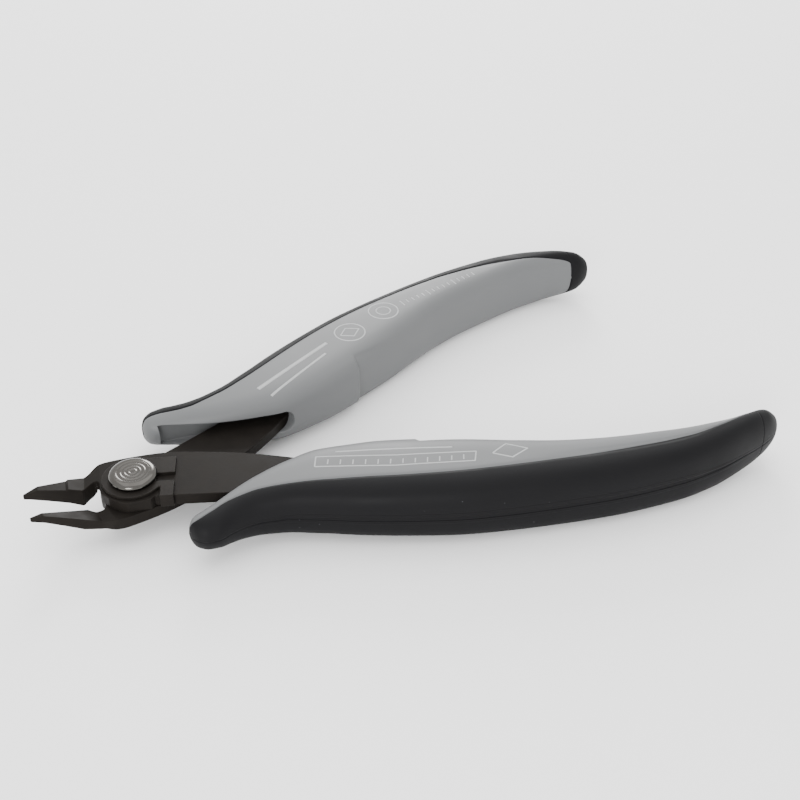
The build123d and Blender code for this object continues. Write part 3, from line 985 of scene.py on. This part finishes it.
@dataclass(frozen=True)
class Finish:
    """One surface finish: two tones that mottle it, its roughness, its grain, its worn edges with their
    painted highlight, and dust.
    """

    name: str
    color: Color
    second: Color
    rough: float
    rough_spread: float = 0.06
    metallic: float = 0.0
    specular: float = 0.5
    grain_scale: float = 4000.0
    grain_depth: float = 0.2
    mottle_scale: float = 120.0
    mottle: float = 0.5
    # The colour edges turn to: partly worn metal, partly a painted highlight.
    wear_and_highlight_color: Color | None = None
    wear_and_highlight_radius: float = 0.00015
    wear_and_highlight: float = 1.0
    dust: float = 0.0

    def build(self) -> bpy.types.Material:
        """The material: mottled colour, worn edges with a painted highlight and dust where it has them,
        and grain as a bump.

        Returns:
            The material.
        """
        material = bpy.data.materials.new(self.name)
        material.use_nodes = True
        n = Nodes(material.node_tree)
        shader = material.node_tree.nodes["Principled BSDF"]
        values = {"Scale": self.grain_scale, "Depth": self.grain_depth, "Mottle Scale": self.mottle_scale}
        grain = self.group(n, surface_grain(), values)
        n.join(grain.outputs["Normal"], shader.inputs["Normal"])
        share = n.ramp(grain.outputs["Mottle"], (0.3, 0.7), (0.0, self.mottle))
        color = self.mix(n, share, self.color, self.second)
        spread = (self.rough - self.rough_spread, self.rough + self.rough_spread)
        rough = n.ramp(grain.outputs["Mottle"], (0.25, 0.75), spread)
        # Edges get a lighter colour, partly from real worn metal and partly as a painted highlight.
        if self.wear_and_highlight_color is not None:
            wear_and_highlight = self.group(n, edge_wear(), {"Radius": self.wear_and_highlight_radius, "Amount": self.wear_and_highlight})
            color = self.mix(n, wear_and_highlight.outputs["Mask"], color, self.wear_and_highlight_color)
            rough = n.math("SUBTRACT", rough, n.math("MULTIPLY", wear_and_highlight.outputs["Mask"], 0.1))
        if self.dust > 0:
            dust = self.group(n, dust_specks(), {"Share": self.dust})
            color = self.mix(n, dust.outputs["Mask"], color, DUST)
        n.join(color, shader.inputs["Base Color"])
        n.join(rough, shader.inputs["Roughness"])
        shader.inputs["Metallic"].default_value = self.metallic
        shader.inputs["Specular IOR Level"].default_value = self.specular
        return material

    @staticmethod
    def group(n: Nodes, tree: bpy.types.NodeTree, values: dict[str, float]) -> bpy.types.Node:
        """A placed node group with its own values.

        Args:
            n: The material's tree.
            tree: The group.
            values: Its inputs' names and values.

        Returns:
            The group's node.
        """
        node = n.add("ShaderNodeGroup", node_tree=tree)
        for word, value in values.items():
            node.inputs[word].default_value = value
        return node

    @staticmethod
    def mix(
        n: Nodes, share: bpy.types.NodeSocket, first: object, second: object
    ) -> bpy.types.NodeSocket:
        """A colour mix of sockets or plain colours.

        Args:
            n: The material's tree.
            share: The share of the second colour.
            first: The first colour.
            second: The second colour.

        Returns:
            The mixed colour's socket.
        """
        node = n.add("ShaderNodeMix", data_type="RGBA")
        n.join(share, node.inputs["Factor"])
        for word, value in (("A", first), ("B", second)):
            n.feed(value, next(s for s in node.inputs if s.name == word and s.type == "RGBA"))
        return next(s for s in node.outputs if s.type == "RGBA")
# The light edge colour of the blackened steel and of the plate is partly worn metal and partly a painted
# highlight.
BLACKENED = Finish(
    "blackened_steel", (0.0098, 0.0085, 0.0074), (0.0136, 0.0117, 0.0100), 0.44, metallic=0.1,
    specular=0.04, grain_scale=2600.0, grain_depth=0.25, mottle_scale=420.0,
    wear_and_highlight_color=(0.085, 0.081, 0.074), wear_and_highlight_radius=0.00014, wear_and_highlight=0.7,
)
PLATE = Finish(
    "pressed_plate", (0.0105, 0.0091, 0.0079), (0.0150, 0.0129, 0.0110), 0.42, metallic=0.15,
    specular=0.06, grain_scale=3200.0, grain_depth=0.2, mottle_scale=600.0,
    wear_and_highlight_color=(0.11, 0.106, 0.097), wear_and_highlight_radius=0.00014, wear_and_highlight=0.9,
)
TURNED = Finish(
    "turned_steel", (0.082, 0.079, 0.073), (0.062, 0.059, 0.054), 0.17, rough_spread=0.05, metallic=1.0,
    grain_scale=6000.0, grain_depth=0.06, mottle_scale=500.0,
)
WIRE = Finish(
    "spring_wire", (0.30, 0.30, 0.29), (0.24, 0.23, 0.22), 0.3, metallic=1.0,
    grain_scale=5000.0, grain_depth=0.1,
)
PLASTIC = Finish(
    "satin_plastic", (0.108, 0.111, 0.113), (0.117, 0.120, 0.121), 0.46, rough_spread=0.04,
    specular=0.25, grain_scale=5200.0, grain_depth=0.10, mottle_scale=60.0,
)
RUBBER = Finish(
    "soft_rubber", (0.0040, 0.0040, 0.0046), (0.0056, 0.0054, 0.0060), 0.55, rough_spread=0.05,
    specular=0.10, grain_scale=6500.0, grain_depth=0.14, mottle_scale=150.0, dust=0.05,
)
PRINT = Finish(
    "printed_line", (0.30, 0.305, 0.305), (0.36, 0.365, 0.365), 0.5, specular=0.3,
    grain_scale=7000.0, grain_depth=0.05, mottle_scale=900.0,
)
FLOOR = Finish(
    "studio_floor", (0.93, 0.93, 0.93), (0.94, 0.94, 0.94), 0.7, specular=0.1,
    grain_scale=300.0, grain_depth=0.0,
)


# --- assembly ----------------------------------------------


def dress(thing: bpy.types.Object, material: bpy.types.Material) -> None:
    """Gives a piece its one finish.

    Args:
        thing: The piece.
        material: Its material.
    """
    thing.data.materials.clear()
    thing.data.materials.append(material)
    log.info("%s: %d faces, %s", thing.name, len(thing.data.polygons), material.name)


@dataclass
class GripPair:
    """Both grips with their marks, from one mould."""

    shape: GripShape = field(default_factory=GripShape)

    def build(self) -> None:
        """Builds and dresses each grip's body, cushion and printed marks, and puts them on its half."""
        plastic, rubber, ink = PLASTIC.build(), RUBBER.build(), PRINT.build()
        for side in Side:
            grip = Grip(side, self.shape)
            body, cushion = grip.body(), grip.cushion()
            marks = grip.print_marks(front_marks() if side is Side.FRONT else rear_marks())
            for thing in (body, cushion, marks):
                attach(thing, side.body)
            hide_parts(f"{side.word}_grip_body")
            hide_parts(f"{side.word}_grip_cushion")
            dress(body, plastic)
            dress(cushion, rubber)
            dress(marks, ink)


@dataclass
class Joint:
    """The rivet, the return spring, and the blades, plate and washer with their edges broken."""

    rivet: Rivet = field(default_factory=Rivet)
    spring: ReturnSpring = field(default_factory=ReturnSpring)
    blade_bevel: float = 0.12
    plate_bevel: float = 0.1

    def build(self) -> None:
        """Builds the turned and bent pieces, softens the flat ones, and dresses them all."""
        rivet = self.rivet.build()
        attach(rivet, "upper_half")
        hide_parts("pivot_rivet")
        dress(rivet, TURNED.build())
        spring = self.spring.build()
        above, below = Vector(PIVOT), Vector(PIVOT)
        above.z += self.spring.rise / 2 * MM
        below.z -= self.spring.rise / 2 * MM
        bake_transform(spring)
        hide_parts("return_spring")
        dress(spring, WIRE.build())
        blackened, plate = BLACKENED.build(), PLATE.build()
        for name, body, finish, bevel in (
            ("upper_blade", "upper_half", blackened, self.blade_bevel),
            ("lower_blade", "lower_half", blackened, self.blade_bevel),
            ("retaining_plate", "upper_half", plate, self.plate_bevel),
            ("rivet_washer", "upper_half", plate, self.plate_bevel),
        ):
            piece = softened(frame["nodes"][name], bevel * MM)
            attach(piece, body)
            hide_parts(name)
            dress(piece, finish)


@dataclass
class Studio:
    """Camera, floor and soft lights."""

    azimuth: float = -24.98
    elevation: float = 36.14
    distance: float = 0.22364
    sensor: float = 36.0
    lens: float = 51.4278
    target: tuple[float, float, float] = (0.05369, 0.00444, 0.0)  # from the rivet, amid the grips
    floor_reach: float = 3.0
    world_strength: float = 1.85

    def camera(self) -> None:
        """Places the camera and makes it the scene's own."""
        aim = Vector(self.target) + Vector(PIVOT)
        az, el = math.radians(self.azimuth), math.radians(self.elevation)
        back = Vector((math.sin(az) * math.cos(el), -math.cos(az) * math.cos(el), math.sin(el)))
        data = bpy.data.cameras.new("camera")
        data.lens = self.lens
        data.sensor_width = self.sensor
        data.clip_start = 0.005
        data.clip_end = 20.0
        thing = bpy.data.objects.new("camera", data)
        thing.location = aim + back * self.distance
        thing.rotation_euler = (-back).to_track_quat("-Z", "Y").to_euler()
        bpy.context.scene.collection.objects.link(thing)
        bpy.context.scene.camera = thing

    def floor(self) -> None:
        """A wide pale floor under the cutter."""
        corners = np.array([[-1, -1, 0], [1, -1, 0], [1, 1, 0], [-1, 1, 0]]) * self.floor_reach
        thing = make_object("floor", corners, np.array([[0, 1, 2, 3]]), smooth=False)
        thing.data.materials.append(FLOOR.build())

    def light(self, name: str, place: tuple[float, float, float], size: float, power: float) -> None:
        """A square soft light that faces the cutter.

        Args:
            name: The light's name.
            place: Where it hangs, in metres.
            size: Length of its side.
            power: Its power in watts.
        """
        data = bpy.data.lights.new(name, "AREA")
        data.shape = "SQUARE"
        data.size = size
        data.energy = power
        thing = bpy.data.objects.new(name, data)
        thing.location = place
        thing.rotation_euler = (-Vector(place)).to_track_quat("-Z", "Y").to_euler()
        bpy.context.scene.collection.objects.link(thing)

    def lights(self) -> None:
        """A large overhead light, a fill from the front left, a rim from behind and a white world."""
        self.light("overhead", (0.05, 0.12, 0.75), 0.9, 3.5)
        self.light("front_fill", (-0.5, -0.6, 0.30), 0.3, 5.0)
        self.light("back_rim", (0.3, 0.7, 0.35), 0.3, 5.0)
        world = bpy.data.worlds.new("studio")
        world.use_nodes = True
        world.node_tree.nodes["Background"].inputs["Color"].default_value = (1, 1, 1, 1)
        world.node_tree.nodes["Background"].inputs["Strength"].default_value = self.world_strength
        bpy.context.scene.world = world


def main() -> None:
    """Builds the studio, the grips and the joint with its blades."""
    logging.basicConfig(level=logging.INFO, format="%(message)s")
    studio = Studio()
    studio.camera()
    studio.floor()
    studio.lights()
    GripPair().build()
    Joint().build()


if __name__ == "__main__":
    main()
